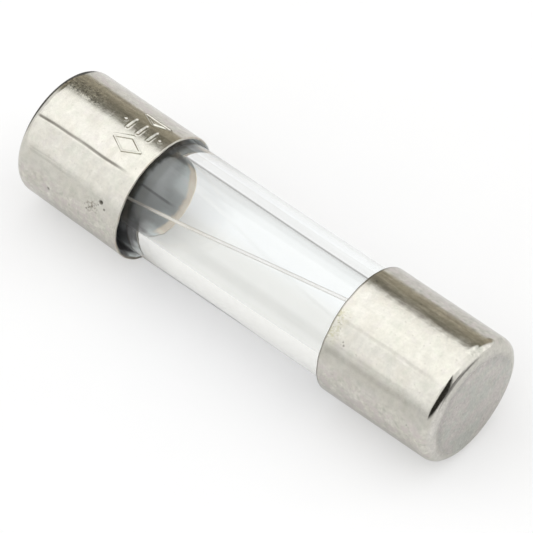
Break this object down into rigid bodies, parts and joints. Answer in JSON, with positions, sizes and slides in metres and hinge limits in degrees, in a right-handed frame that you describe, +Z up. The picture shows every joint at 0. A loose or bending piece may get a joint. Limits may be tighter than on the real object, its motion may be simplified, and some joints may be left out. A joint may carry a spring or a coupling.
{
  "type": "cartridge fuse",
  "caption": "Miniature cartridge fuse: a clear glass tube with a nickel-plated metal cap on each end and one thin wire running diagonally through the bore.",
  "frame": {"origin": "the middle of the fuse, on its axis: the centre of its bounding box", "axes": "+X along the fuse's axis towards the plain cap, the marked cap is on -X, +Z up with the fuse lying on its side"},
  "size_m": [0.02, 0.0052, 0.0052],
  "materials": {
    "glass": "polished",
    "cap_nickel": "gloss",
    "wire": "gloss",
    "solder": "satin"
  },
  "bodies": {
    "root": {"glass_tube": "glass", "end_cap_marked": "cap_nickel", "end_cap_plain": "cap_nickel", "fuse_wire": "wire", "solder_marked_end": "solder", "solder_plain_end": "solder"}
  },
  "joints": []
}
